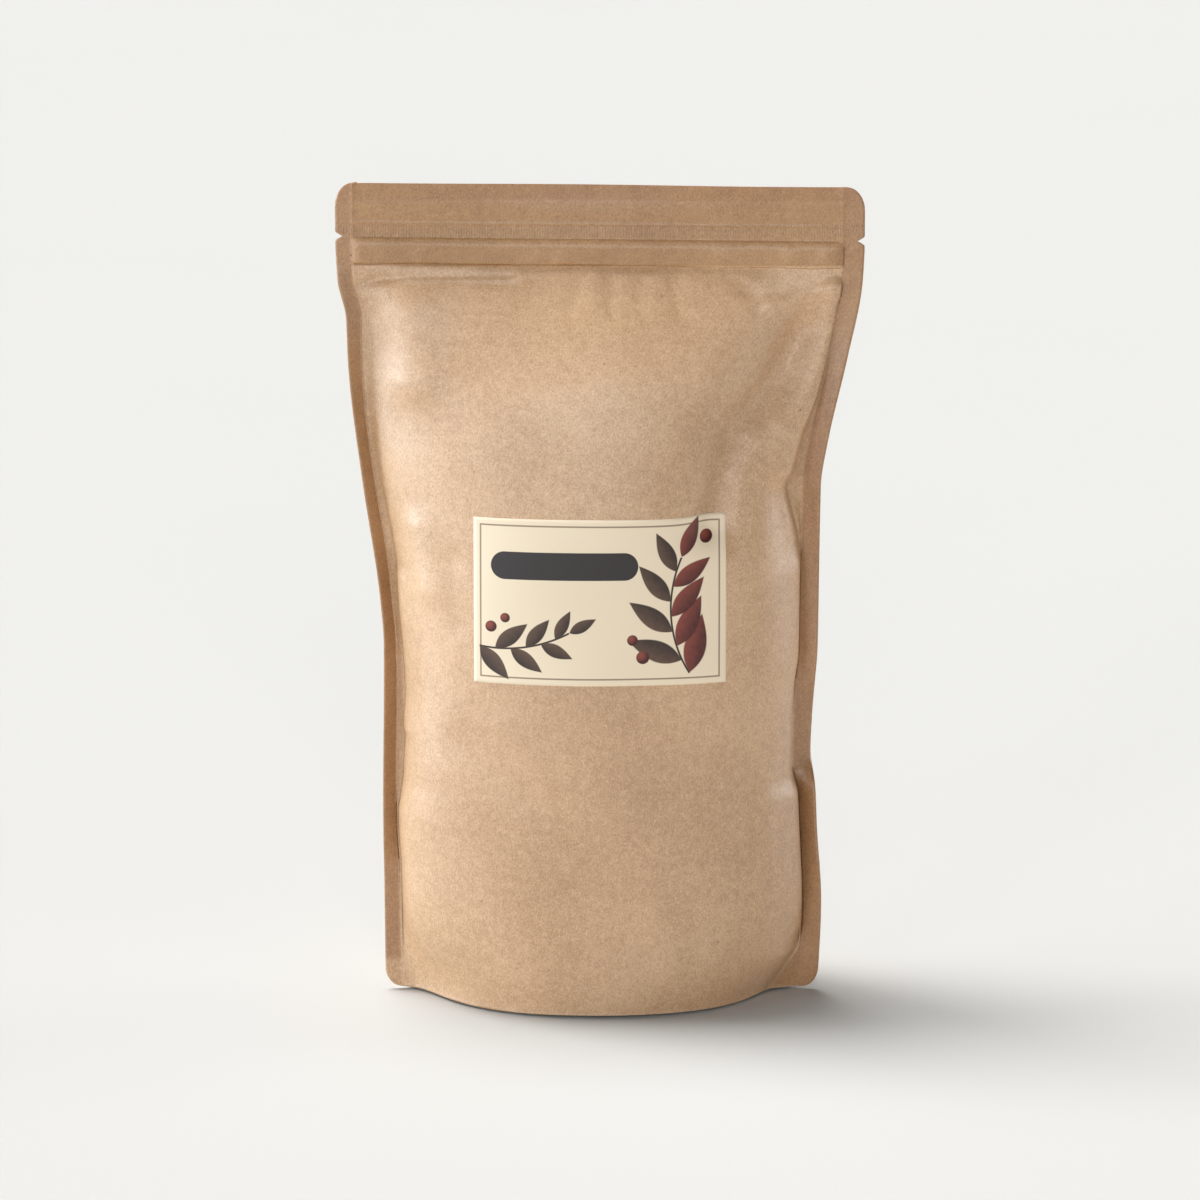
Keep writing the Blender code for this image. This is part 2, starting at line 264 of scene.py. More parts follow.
gridSteps = {
    "rows": (  # from, to, and how far apart
        (0, 0.3, 0.1), (0.3, 1.5, 0.3), (1.5, 10, 0.85), (10, 240, 1.4), (240, 255.5, 0.6),
        (255.5, 257.9, 0.2), (257.9, 261.5, 0.4), (261.5, 272, 0.34), (272, 277, 0.9),
        (277, 282.5, 0.5), (282.5, 283.7, 0.3), (283.7, 284, 0.1),
    ),
    "bodyColumns": 58,
    "facetColumns": 5,
    "sealColumns": 7,
}


def curve(points, at):
    # smooth through (place, value) pairs and never past them
    place, value = np.array(points, float).T
    step = np.diff(place)
    slope = np.diff(value) / step
    product = slope[:-1] * slope[1:]
    sameWay = product > 0
    inner = np.where(sameWay, 2 * product / np.where(sameWay, slope[:-1] + slope[1:], 1), 0)
    tangent = np.concatenate([slope[:1], inner, slope[-1:]])
    at = np.clip(at, place[0], place[-1])
    i = np.clip(np.searchsorted(place, at) - 1, 0, len(step) - 1)
    t = (at - place[i]) / step[i]
    rise = (value[i + 1] - value[i]) * t * t * (3 - 2 * t)
    return value[i] + rise + step[i] * t * ((1 - t) ** 2 * tangent[i] + t * (t - 1) * tangent[i + 1])


def straight(points, at):
    place, value = np.array(points, float).T
    return np.interp(at, place, value)


def softStep(value, low, high):
    t = np.clip((value - low) / (high - low), 0, 1)
    return t * t * (3 - 2 * t)


def hump(value, middle, reach):
    return np.exp(-((value - middle) / reach) ** 2)


def ripple(x, z, seed, waves, height, count=9):
    # gentle waves in random directions, as thin card shows
    draw = np.random.default_rng(seed)
    total = 0
    for _ in range(count):
        turn, length, phase = draw.uniform(0, math.pi), draw.uniform(*waves), draw.uniform(0, 2 * math.pi)
        total = total + np.sin(2 * math.pi * (x * math.cos(turn) + z * math.sin(turn)) / length + phase)
    return total * height / math.sqrt(count)


def nearLine(x, z, line, reach):
    # 1 on a line of (x, z) points, fading over its reach
    nearest = np.full(np.shape(x), np.inf)
    for (x0, z0), (x1, z1) in zip(line, line[1:]):
        dx, dz = x1 - x0, z1 - z0
        along = np.clip(((x - x0) * dx + (z - z0) * dz) / (dx * dx + dz * dz), 0, 1)
        nearest = np.minimum(nearest, np.hypot(x - x0 - along * dx, z - z0 - along * dz))
    return hump(nearest, 0, reach)


def rowHeights():
    runs = []
    for low, high, step in gridSteps["rows"]:
        runs.append(np.linspace(low, high, round((high - low) / step), endpoint=False))
    return np.concatenate(runs + [[pouch["height"]]])


def edgeInset(z):
    # how far the round corners and the notch cut into the edge
    radius = pouch["cornerRadius"]
    reach = np.clip(radius - np.minimum(z, pouch["height"] - z), 0, radius)
    rounding = (radius - np.sqrt(radius**2 - reach**2)) * pouch["cornerWidth"]
    mouth = np.clip(1 - np.abs(z - pouch["notchHeight"]) / pouch["notchMouth"], 0, 1)
    return rounding + pouch["notchDepth"] * mouth ** pouch["notchSharpness"]


def halfProfile(panel, side, chord, depth, z):
    # from the middle of the panel to its shoulder, turned until it is as deep as asked
    u = np.linspace(0, 1, turning["samples"])
    share = curve(shoulderShare, z)[:, None]
    turnedBack = footReturn[panel, side] * hump(z, 0, pouch["footHeight"])[:, None]
    turn = (1 - share) * u + share * u ** turning["shoulder"]
    turn = turn * (1 - turnedBack * u ** turning["foot"])
    low, high = np.zeros(len(z)), np.full(len(z), turning["steepest"])
    for _ in range(turning["halvings"]):
        scale = (low + high) / 2
        angle = scale[:, None] * turn
        shallow = np.sin(angle).sum(1) / np.cos(angle).sum(1) < depth / chord
        low, high = np.where(shallow, scale, low), np.where(shallow, high, scale)
    out, fall = np.cumsum(np.cos(angle), 1), np.cumsum(np.sin(angle), 1)
    out = (out - out[:, :1]) / (out[:, -1:] - out[:, :1]) * chord[:, None]
    fall = (fall - fall[:, :1]) / np.maximum(fall[:, -1:] - fall[:, :1], 1e-9)
    columns = np.linspace(0, 1, gridSteps["bodyColumns"])
    forward = depth[:, None] * (1 - fall)
    return (np.array([np.interp(columns, u, row) for row in out]),
            np.array([np.interp(columns, u, row) for row in forward]))


def halfSection(panel, side, z):
    # x and y of every column from the middle to the outer edge of one side seal
    waver = sealWaver["turn"] * np.sin(z / sealWaver["length"] + side)
    waver = waver * softStep(z, *sealWaver["comesIn"]) * (1 - softStep(z, *sealWaver["goesOut"]))
    bend = np.radians(curve(sealBend[side], z) + waver)
    hinge = curve(sealEdge[side], z) - sealWidth[side] * np.cos(bend)
    width = sealWidth[side] - edgeInset(z)
    inner = hinge - np.maximum(pouch["leastSeal"] - width, 0)
    depth = curve(swell[panel], z)
    facet = straight(facetWidth[panel, side], z)
    lean = np.radians(curve(facetLean, z))
    facetOut = inner - facet * np.cos(lean)
    facetForward = np.minimum(facet * np.sin(lean), depth / 2)
    out, forward = halfProfile(panel, side, facetOut, depth - facetForward, z)
    forward += facetForward[:, None]
    steps = np.linspace(0, 1, gridSteps["facetColumns"] + 1)[None, 1:]
    facetX = facetOut[:, None] + (inner - facetOut)[:, None] * steps
    facetY = facetForward[:, None] * (1 - steps)
    steps = np.linspace(0, 1, gridSteps["sealColumns"] + 1)[None, 1:]
    outer = hinge + width * np.cos(bend)
    sealX = inner[:, None] + (outer - inner)[:, None] * steps
    sealY = front * (width * np.sin(bend))[:, None] * steps
    x = side * np.hstack([out, facetX, sealX])
    y = np.hstack([panel * forward, panel * facetY, sealY])
    return x, y


def panelGrid(panel):
    # mid-surface of a panel as rows, columns and coordinates, where folds may come,
    # and how far each point is inside the nearer seal
    z = rowHeights()
    leftX, leftY = halfSection(panel, left, z)
    rightX, rightY = halfSection(panel, right, z)
    x = np.hstack([leftX[:, ::-1], rightX[:, 1:]])
    y = np.hstack([leftY[:, ::-1], rightY[:, 1:]])
    height = np.repeat(z[:, None], x.shape[1], 1)
    raised = height > pouch["crease"]
    hinge = -gridSteps["sealColumns"] - 1
    hingeGap = np.minimum(x - leftX[:, hinge][:, None], rightX[:, hinge][:, None] - x)
    relief = curve(headerRelief, height) * softStep(hingeGap, 0, pouch["headerFade"])
    y += panel * np.where(raised, relief, 0)
    share = np.clip((height - pouch["dropStart"]) / (pouch["crease"] - pouch["dropStart"]), 0, 1)
    drop = -pouch["headerDrop"] * share**2 * x / (pouch["width"] / 2)
    body = softStep(hingeGap, *pouch["foldFade"]) * np.where(raised, 0, 1)
    return np.stack([x, y, height + drop], 2), body, hingeGap


def gridNormals(grid, panel):
    across, upward = np.gradient(grid, axis=1), np.gradient(grid, axis=0)
    normal = np.cross(across, upward) * -panel
    return normal / np.linalg.norm(normal, axis=2, keepdims=True)


def addMesh(name, points, faces, finish):
    mesh = bpy.data.meshes.new(name)
    mesh.from_pydata((np.asarray(points) * mm).tolist(), [], faces)
    mesh.validate()
    mesh.shade_smooth()
    mesh.materials.append(finish)
    obj = bpy.data.objects.new(name, mesh)
    bpy.context.scene.collection.objects.link(obj)
    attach(obj, "root")
    return obj


def addSheet(name, inner, outer, finish, flip):
    # a closed thin sheet between two grids, its outer face turned out
    rows, columns, _ = inner.shape
    index = np.arange(rows * columns).reshape(rows, columns)
    far = rows * columns
    a, b, c, d = index[:-1, :-1], index[:-1, 1:], index[1:, 1:], index[1:, :-1]
    outerQuads = np.stack([a, b, c, d], 2).reshape(-1, 4) + far
    innerQuads = np.stack([d, c, b, a], 2).reshape(-1, 4)
    rim = np.concatenate([index[0, :-1], index[:-1, -1], index[-1, :0:-1], index[:0:-1, 0]])
    nextRim = np.roll(rim, -1)
    rimQuads = np.stack([rim, nextRim, nextRim + far, rim + far], 1)
    quads = np.concatenate([outerQuads, innerQuads, rimQuads])
    if flip:
        quads = quads[:, ::-1]
    points = np.concatenate([inner.reshape(-1, 3), outer.reshape(-1, 3)])
    points[:, 2] = np.maximum(points[:, 2], 0)
    return addMesh(name, points, quads.tolist(), finish)


# Folds and dents of the filled body: lines of (x, z), how far out they go, how wide they are

frontFolds = (
    # trough at the upper right, the roll beside it, and a fold from the roll's lower end to the edge
    {"line": ((70, 234), (61, 218), (48, 203), (42, 188), (39, 172)), "out": -6.2, "reach": 8.5},
    {"line": ((82, 247), (77, 230), (73, 216), (65, 202), (61.5, 188)), "out": 3.8, "reach": 4.4},
    {"line": ((61.5, 184), (65, 166), (69, 148)), "out": 0.7, "reach": 1.8},
    # plump corner at the top left, and the dent under the header beside it
    {"line": ((-62, 220), (-64, 240)), "out": 3.0, "reach": 10.0},
    {"line": ((-86, 248.5), (-76, 251.8), (-52, 252.4), (-30, 252.8)), "out": -0.9, "reach": 1.7},
    # short pleats below the zip
    {"line": ((-8, 252), (-9, 244)), "out": -0.3, "reach": 3.0},
    {"line": ((3, 252), (4, 241)), "out": -0.4, "reach": 2.8},
    {"line": ((14, 252), (13, 245)), "out": -0.3, "reach": 2.8},
    {"line": ((25, 252), (27, 242)), "out": -0.4, "reach": 3.0},
    {"line": ((44, 252), (52, 247)), "out": -0.35, "reach": 2.4},
    # a crest that rises to the pinch at the top right
    {"line": ((58, 243), (72, 247), (83, 250.5)), "out": 1.1, "reach": 2.2},
    # shallow dents of the lower body
    {"line": ((-62, 168), (-59, 148)), "out": 1.0, "reach": 6.0},
    {"line": ((-50, 158), (-48, 138)), "out": -0.7, "reach": 5.0},
    {"line": ((-46, 96), (-26, 80)), "out": -0.8, "reach": 7.0},
    {"line": ((-34, 104), (-22, 92)), "out": 0.5, "reach": 4.0},
    {"line": ((-2, 60), (12, 30)), "out": -0.5, "reach": 9.0},
    {"line": ((20, 44), (24, 16)), "out": 0.5, "reach": 5.0},
)
backFolds = (
    {"line": ((-80, 240), (-70, 214), (-60, 190)), "out": -1.9, "reach": 7.0},
    {"line": ((-84, 246), (-76, 222), (-68, 204)), "out": 1.1, "reach": 3.4},
    {"line": ((70, 224), (73, 240)), "out": 2.0, "reach": 11.0},
    {"line": ((-20, 252), (-18, 238)), "out": -0.6, "reach": 2.8},
    {"line": ((-4, 252), (-5, 243)), "out": -0.5, "reach": 2.4},
    {"line": ((12, 252), (11, 240)), "out": -0.6, "reach": 2.6},
    {"line": ((30, 252), (66, 251)), "out": -0.8, "reach": 2.0},
    {"line": ((-40, 96), (-10, 74), (24, 66)), "out": -0.7, "reach": 9.0},
)

# Places pushed sideways over the seal: a line, how far right and how far out (by height), how wide
frontTucks = (
    {"line": ((81.8, 249.5), (81.4, 246)), "across": 2.2, "out": 1.6, "reach": 2.6},
    {
        "line": ((80, 240), (77.5, 230), (74.5, 218), (69, 204), (65.5, 190), (63.5, 180), (66, 172),
                 (68.4, 160), (68.4, 90), (69.2, 24)),
        "across": ((24, 1.1), (104, 1.2), (120, 1.9), (158, 1.9), (179, -1.4), (192, -1.8), (204, -1.2),
                   (218, 0.7), (240, 0.8)),
        "out": ((24, 0.2), (158, 0.2), (179, 1.2), (204, 1.7), (240, 1.2)),
        "reach": 3.2,
    },
    {"line": ((-67.5, 150), (-66.5, 96)), "across": -0.5, "out": 0.5, "reach": 1.8},
)
backTucks = (
    {"line": ((-83.5, 249), (-82, 243)), "across": -1.6, "out": 1.2, "reach": 3.2},
)
bodyWaves = {
    front: {"seed": 11, "waves": (34, 90), "height": 0.38},
    back: {"seed": 29, "waves": (30, 80), "height": 0.42},
}
edges = {
    "footFade": (0, 14),        # folds come in over this height
    "tuckFade": (0.1, 1.8),     # tucks come in over this distance from the seals
    "tuckTop": 0.5,             # and end this far below the crease
    "bead": {"out": 0.22, "middle": 0.3, "reach": 0.5, "comesIn": (12, 20)},  # beside the side seals
    "footLip": {"out": 0.3, "reach": 0.7, "comesIn": (-2, 4)},
    "gussetLine": {"out": 0.14, "middle": 47.0, "reach": 0.6, "goesOut": (-0.6, -0.2)},  # on the side seals
}
header = {
    "sway": {"seed": 5, "waves": (70, 150), "height": 0.9, "count": 4},  # its edge isn't quite straight
    "swayStretch": 0.3,
    "creaseWander": {"seed": 8, "waves": (22, 75), "height": 0.32},
    "creaseReach": 5.0,
    "creaseFade": 6,
    "pucker": {"seed": 17, "waves": (7, 19), "height": 0.42},
    "puckerStretch": (0.8, 0.5),
    "puckerFade": 3,
    "puckersStart": (256.6, 257.6),
    "puckersEnd": (260, 263.2),
    "puckersAt": ((-90, 1), (-60, 0.5), (-48, 0), (-26, 0), (-18, 1), (8, 0.2), (36, 0.5), (58, 0.2),
                  (76, 1), (90, 1)),
}
footLift = {  # the gusset carries the weight and the feet hang
    "height": 1.1,
    "goesOut": (66.0, 80.0),
    "reach": 9.0,
}


def liftAt(x):
    return footLift["height"] * (1 - softStep(np.abs(x), *footLift["goesOut"]))


def byHeight(value, z):
    return curve(value, z) if isinstance(value, tuple) else value


def edgeRelief(hingeGap, z):
    bead, lip, line = edges["bead"], edges["footLip"], edges["gussetLine"]
    out = bead["out"] * hump(hingeGap, bead["middle"], bead["reach"]) * softStep(z, *bead["comesIn"])
    out += lip["out"] * np.exp(-z / lip["reach"]) * softStep(hingeGap, *lip["comesIn"])
    out += line["out"] * hump(z, line["middle"], line["reach"]) * (1 - softStep(hingeGap, *line["goesOut"]))
    return out


def shapedPanel(panel, folds, tucks):
    grid, body, hingeGap = panelGrid(panel)
    x, z = grid[:, :, 0], grid[:, :, 2]
    out = ripple(x, z, **bodyWaves[panel])
    for fold in folds:
        out = out + fold["out"] * nearLine(x, z, fold["line"], fold["reach"])
    out = out * body * softStep(z, *edges["footFade"])
    across = np.zeros(x.shape)
    tuckTop = pouch["crease"] - edges["tuckTop"]
    unwelded = softStep(hingeGap, *edges["tuckFade"]) * np.where(z < tuckTop, 1, 0)
    for tuck in tucks:
        near = nearLine(x, z, tuck["line"], tuck["reach"]) * unwelded
        across += byHeight(tuck["across"], z) * near
        out = out + byHeight(tuck["out"], z) * near
    out = out + edgeRelief(hingeGap, z)
    grid = grid + gridNormals(grid, panel) * out[:, :, None]
    grid[:, :, 0] += across
    nearCrease = hump(z, pouch["crease"], header["creaseReach"]) * softStep(hingeGap, 0, header["creaseFade"])
    grid[:, :, 2] += ripple(x, 0 * z, **header["creaseWander"]) * nearCrease
    stretchX, stretchZ = header["puckerStretch"]
    pucker = np.maximum(ripple(x * stretchX, z * stretchZ, **header["pucker"]), 0)
    pucker = pucker * straight(header["puckersAt"], x) * softStep(hingeGap, 0, header["puckerFade"])
    zone = softStep(z, *header["puckersStart"]) * (1 - softStep(z, *header["puckersEnd"]))
    grid[:, :, 1] += panel * pucker * zone
    swaying = softStep(z, pouch["notchHeight"], pouch["height"])
    grid[:, :, 1] += swaying * ripple(x, z * header["swayStretch"], **header["sway"])
    grid[:, :, 2] += liftAt(x) * np.exp(-z / footLift["reach"])
    return grid, hingeGap


# where the seal tint goes: the welded fins, and on the right the foot's flat corner as painted shade
sealAndShadeArea = {"cornerWidth": 10.5, "cornerHeight": 15.0, "leftEnd": (9, 13), "edge": (-0.4, 0.3)}


def sealAndShadeShare(hingeGap, x, z):
    # 1 where the seal tint goes: where front and back are welded together (pressed paper, with painted shade
    #                             on the fins beside the body), and on the right also the foot's flat corner,
    #                             where the tint is painted shade
    corner = np.where(x > 0, sealAndShadeArea["cornerWidth"] * np.clip(1 - z / sealAndShadeArea["cornerHeight"], 0, 1), 0)
    lower = np.where(x > 0, 1, softStep(z, *sealAndShadeArea["leftEnd"]))
    return (1 - softStep(hingeGap - corner, *sealAndShadeArea["edge"])) * lower


def addPanel(name, panel, folds, tucks, finish):
    grid, hingeGap = shapedPanel(panel, folds, tucks)
    normal = gridNormals(grid, panel)
    inner = grid + normal * pouch["sealGap"]
    outer = grid + normal * (pouch["sealGap"] + pouch["film"])
    obj = addSheet(name, inner, outer, finish, panel == back)
    # this mask carries painted shade as well as the seals' own darker tone
    share = sealAndShadeShare(hingeGap, grid[:, :, 0], grid[:, :, 2]).reshape(-1)
    attribute = obj.data.attributes.new("welded", "FLOAT", "POINT")
    attribute.data.foreach_set("value", np.concatenate([share, share]).astype(np.float32))
    return obj, outer, inner


# Kraft paper

kraft = {
    "light": rgb(216, 180, 144),
    "middle": rgb(191, 153, 115),
    "dark": rgb(160, 122, 85),
    # darker tone of pressed seal paper, deepened to paint the shade on the fins beside the body and on the
    # right foot corner
    "sealAndShadeTint": (0.72, 0.61, 0.48, 1),
    "headerTint": (0.72, 0.61, 0.44, 1),
    "headerTintEdge": 0.4,
    "topSealTint": (0.95, 0.91, 0.9, 1),
    "topSealEdge": (278.2, 279),
    "roughness": 0.43,
    "roughnessSpread": -0.1,
    "gloss": 0.95,
    "grain": {"scale": 2000, "detail": 3, "roughness": 0.75, "stretch": (1, 1, 1.5)},
    "mottle": {"scale": 330, "roughness": 0.6},
    "blotch": {"scale": 22, "detail": 3},
    "crumple": {"scale": 120, "detail": 3, "roughness": 0.55},
    "contrast": (0.3, 0.7),
    "bump": 0.75,
}
kraftShares = {"grain": 0.6, "mottle": 0.15, "blotch": 0.25}                # of the colour
kraftHeights = {"grain": 0.000045, "mottle": 0.00004, "crumple": 0.00016}   # of the relief, in metres
flecks = {  # rare dark fibres, in patches
    "colour": rgb(104, 70, 42),
    "scale": 240.0,
    "size": (0.06, 0.12),
    "strength": 0.7,
    "patches": {"scale": 95, "detail": 1},
    "patchEdge": (0.6, 0.68),
}
ribs = {"pitch": 0.55, "low": 266.2, "high": 270.2, "height": 0.00008}      # pressed into the header


def kraftFinish():
    made, shader, place = newMaterial("kraft", kraft["roughness"])
    x, z = place.axis("X") * perMetre, place.axis("Z") * perMetre
    blotch, grain = place.noise(**kraft["blotch"]), place.noise(**kraft["grain"])
    mottle, crumple = place.noise(**kraft["mottle"]), place.noise(**kraft["crumple"])
    speckle = grain * kraftShares["grain"] + mottle * kraftShares["mottle"] + blotch * kraftShares["blotch"]
    speckle = speckle.smooth(*kraft["contrast"])
    settings = {"stops": [(0, kraft["dark"]), (0.5, kraft["middle"]), (1, kraft["light"])]}
    colour = speckle.node("ShaderNodeValToRGB", settings, {0: speckle})
    cells = {"Vector": place, "Scale": flecks["scale"], "Randomness": 1.0}
    fleck = 1 - place.node("ShaderNodeTexVoronoi", {"feature": "F1"}, cells).smooth(*flecks["size"])
    fleck = fleck * place.noise(**flecks["patches"]).smooth(*flecks["patchEdge"])
    colour = (fleck * flecks["strength"]).blend(colour, flecks["colour"])
    # seal mask: the pressed paper's darker tone plus painted shade on the fins and the right foot corner
    welded = place.node("ShaderNodeAttribute", {"attribute_name": "welded"}, output="Fac")
    inHeader = z.smooth(pouch["crease"] - kraft["headerTintEdge"], pouch["crease"] + kraft["headerTintEdge"])
    tint = welded.blend(inHeader.blend(white, kraft["headerTint"]), kraft["sealAndShadeTint"])
    colour = colour * tint * z.smooth(*kraft["topSealEdge"]).blend(white, kraft["topSealTint"])
    plug(colour, shader, "Base Color")
    shader.inputs["Specular IOR Level"].default_value = kraft["gloss"]
    roughBy(speckle, shader, kraft["roughnessSpread"])
    rib = (x * (2 * math.pi / ribs["pitch"])).calc("SINE") * ((z > ribs["low"]) * (z < ribs["high"]))
    relief = grain * kraftHeights["grain"] + mottle * kraftHeights["mottle"]
    press(relief + crumple * kraftHeights["crumple"] + rib * ribs["height"], shader, kraft["bump"])
    return made


# Label: printed sheet stuck on the front, following its bulge

label = {
    "width": 85.6,
    "height": 56.4,
    "middle": 146.4,     # height of its centre
    "gap": 0.03,
    "thickness": 0.13,
    "step": 1.1,
    "paper": rgb(233, 216, 189),
    "fibreColour": rgb(190, 168, 138),
    "fibreShare": 0.1,
    "fibre": {"scale": 1.9, "detail": 3, "roughness": 0.6},
    "fibreHeight": 0.00002,  # metres
    "roughness": 0.575,
    "roughnessSpread": 0.15,
    "bump": 0.5,
}
inks = {
    "bar": rgb(44, 38, 38),
    "line": rgb(120, 92, 70),
    "brown": (rgb(48, 34, 28), rgb(104, 78, 60)),
    "maroon": (rgb(70, 24, 22), rgb(146, 70, 56)),
}
labelBar = {"x": -12.0, "z": 12.5, "halfLength": 25.0, "halfHeight": 4.7, "edge": (-0.1, 0.05)}
labelFrame = {"inset": 2.3, "line": 0.4, "edge": 0.15, "share": 0.8}
branches = (  # leaves in pairs along an arc: centre and radius of the arc, first and last angle in degrees
    {"x": 66.0, "z": -2.0, "radius": 42.0, "from": 212, "to": 156, "leaves": 9, "length": 10.5,
     "width": 3.9, "open": 44, "inks": ("maroon", "brown")},
    {"x": -34.0, "z": 34.0, "radius": 50.0, "from": 262, "to": 298, "leaves": 7, "length": 7.6,
     "width": 2.9, "open": 40, "inks": ("brown", "brown")},
)
stem = {"edge": (0.2, 0.45), "shrink": 0.35}  # the last leaf is smaller by nearly this share
leaf = {
    "reach": 1.2,           # the pattern ends this many half-lengths from the middle
    "taper": 0.3,           # its widest place is nearer its base
    "edge": 0.12,
    "ribs": (16, 9),        # side veins along the leaf, and how much they slant
    "ribEdge": (0.86, 1),
    "ribShare": 0.35,
    "vein": 13,             # more is thinner
    "veinTaper": 1.1,
    "veinShare": 0.5,
    "lightSide": (-1.1, 1.3),
    "lightShare": 0.75,
    "mottle": {"scale": 0.55, "detail": 3},
    "mottleShare": 0.5,
    "shade": 0.22,
}
berries = ((14.5, -18.5, 2.3), (11.0, -12.6, 1.9), (36.0, 21.0, 2.2), (-37.0, -8.6, 2.0), (-32.2, -5.4, 1.7))
berryShine = {"off": 0.35, "share": 0.8, "edge": (0.93, 1)}


def printLeaf(colour, page, x, z, angle, length, width, ink):
    # one leaf over what is printed already: widest near its base, with veins
    sizes = {"Vector": page, "Location": (x, z, 0), "Rotation": (0, 0, angle), "Scale": (length, width, 1)}
    local = page.node("ShaderNodeMapping", {"vector_type": "TEXTURE"}, sizes)
    along, across = local.axis("X").low(leaf["reach"]).top(-leaf["reach"]), local.axis("Y")
    side = abs(across)
    inside = (1 - along * along) * (1 - leaf["taper"] * along) - side
    pitch, slant = leaf["ribs"]
    sideVeins = (along * pitch - side * slant).calc("SINE").smooth(*leaf["ribEdge"])
    vein = (1 - (side * leaf["vein"] / (leaf["veinTaper"] - along)).low(1)).top(sideVeins * leaf["ribShare"])
    light = across.smooth(*leaf["lightSide"]) * leaf["lightShare"]
    light = (light + page.noise(**leaf["mottle"]) * leaf["mottleShare"] - leaf["shade"]).top(0)
    return inside.smooth(0, leaf["edge"]).blend(colour, (vein * leaf["veinShare"]).top(light).blend(*ink))


def printBranch(colour, page, x, z, branch):
    angles = np.radians(np.linspace(branch["from"], branch["to"], branch["leaves"]))
    ringX, ringZ = x - branch["x"], z - branch["z"]
    radius = (ringX * ringX + ringZ * ringZ).calc("SQRT")
    line = 1 - abs(radius - branch["radius"]).smooth(*stem["edge"])
    turned = ringZ.calc("ARCTAN2", ringX)
    low, high = sorted(math.remainder(a, 2 * math.pi) for a in (angles[0], angles[-1]))
    if high - low < math.pi:
        within = (turned > low) * (turned < high)
    else:
        within = (turned < low).top(turned > high)
    colour = (line * within).blend(colour, inks["brown"][0])
    onward = math.copysign(math.pi / 2, angles[-1] - angles[0])
    for i, angle in enumerate(angles):
        side = 1 if i % 2 else -1
        last = i == len(angles) - 1
        pointing = angle + onward + (0 if last else side * math.radians(branch["open"]))
        size = 1 - stem["shrink"] * i / len(angles)
        length, width = branch["length"] * size, branch["width"] * size
        leafX = branch["x"] + branch["radius"] * math.cos(angle) + length * math.cos(pointing)
        leafZ = branch["z"] + branch["radius"] * math.sin(angle) + length * math.sin(pointing)
        colour = printLeaf(colour, page, leafX, leafZ, pointing, length, width, inks[branch["inks"][i % 2]])
    return colour


def printBerry(colour, x, z, size):
    # x and z are measured from its middle
    ringX, ringZ, off = x / size, z / size, berryShine["off"]
    reach = (ringX * ringX + ringZ * ringZ).calc("SQRT")
    shine = (1 - ((ringX + off) * (ringX + off) + (ringZ - off) * (ringZ - off))).top(0)
    lit = (shine * berryShine["share"]).blend(*inks["maroon"])
    return (1 - reach.smooth(*berryShine["edge"])).blend(colour, lit)


def printBar(colour, x, z):
    endX = (abs(x - labelBar["x"]) - (labelBar["halfLength"] - labelBar["halfHeight"])).top(0)
    endZ = z - labelBar["z"]
    low, high = (labelBar["halfHeight"] + edge for edge in labelBar["edge"])
    bar = 1 - (endX * endX + endZ * endZ).calc("SQRT").smooth(low, high)
    return bar.blend(colour, inks["bar"])


def printFrame(colour, x, z):
    outward = (abs(x) - label["width"] / 2).top(abs(z) - label["height"] / 2) + labelFrame["inset"]
    half = labelFrame["line"] / 2
    line = 1 - abs(outward).smooth(half, half + labelFrame["edge"])
    return (line * labelFrame["share"]).blend(colour, inks["line"])


def labelFinish():
    made, shader, place = newMaterial("label_paper", label["roughness"])
    x, z = place.axis("X") * perMetre, place.axis("Z") * perMetre - label["middle"]
    page = x.node("ShaderNodeCombineXYZ", {}, {0: x, 1: z})
    fibre = page.noise(**label["fibre"])
    colour = (fibre * label["fibreShare"]).blend(label["paper"], label["fibreColour"])
    colour = printFrame(colour, x, z)
    for branch in branches:
        colour = printBranch(colour, page, x, z, branch)
    for berryX, berryZ, size in berries:
        colour = printBerry(colour, x - berryX, z - berryZ, size)
    plug(printBar(colour, x, z), shader, "Base Color")
    roughBy(fibre, shader, label["roughnessSpread"])
    press(fibre * label["fibreHeight"], shader, label["bump"])
    return made


def surfaceDepth(face, x, z):
    # y of a panel's face at every pair of the given x and z
    depth = np.array([np.interp(x, row[:, 0], row[:, 1]) for row in face])
    height = np.array([np.interp(x, row[:, 0], row[:, 2]) for row in face])
    return np.array([np.interp(z, height[:, i], depth[:, i]) for i in range(len(x))]).T


def evenly(length):
    # places along one side of the label, from its middle outwards
    return np.linspace(-length / 2, length / 2, round(length / label["step"]) + 1)


def addLabel(face):
    x, z = evenly(label["width"]), label["middle"] + evenly(label["height"])
    acrossX, upZ = np.meshgrid(x, z)
    grid = np.stack([acrossX, surfaceDepth(face, x, z), upZ], 2)
    normal = gridNormals(grid, front)
    inner = grid + normal * label["gap"]
    outer = inner + normal * label["thickness"]
    return addSheet("label_sheet", inner, outer, labelFinish(), False)


# Bottom gusset: sealed inside both feet, folded up at its ends and resting on the floor between

gusset = {
    "ends": (-60.0, 58.0),
    "columns": 90,
    "sealRows": 7,
    "clearance": 0.15,
    "crestRise": 0.8,
    "crestReach": 1.4,
    "crestMost": 1 / 3,          # of the half-depth
    "slopeReach": 13.0,
    "slopeMost": 0.7,            # of the half-depth
    "slopeBend": (0.35, 0.45),   # share of the way in, and of the height left
    "creaseRise": 0.35,          # the fold along its middle
    "creaseReach": 1.6,
    "floorGap": 0.02,
    "thickness": 0.2,
}
gussetSealTop = ((0, 7.5), (0.5, 8.5), (0.75, 14), (0.92, 24), (1, 32))
gussetFloor = ((0, 0.02), (0.62, 0.02), (0.82, 7), (0.94, 19), (1, 30))


def rounded(path, times=2):
    # cuts the corners of an open path
    for _ in range(times):
        first, second = path[:-1], path[1:]
        cut = np.stack([first * 0.75 + second * 0.25, first * 0.25 + second * 0.75], 1).reshape(-1, 2)
        path = np.concatenate([path[:1], cut, path[-1:]])
    return path


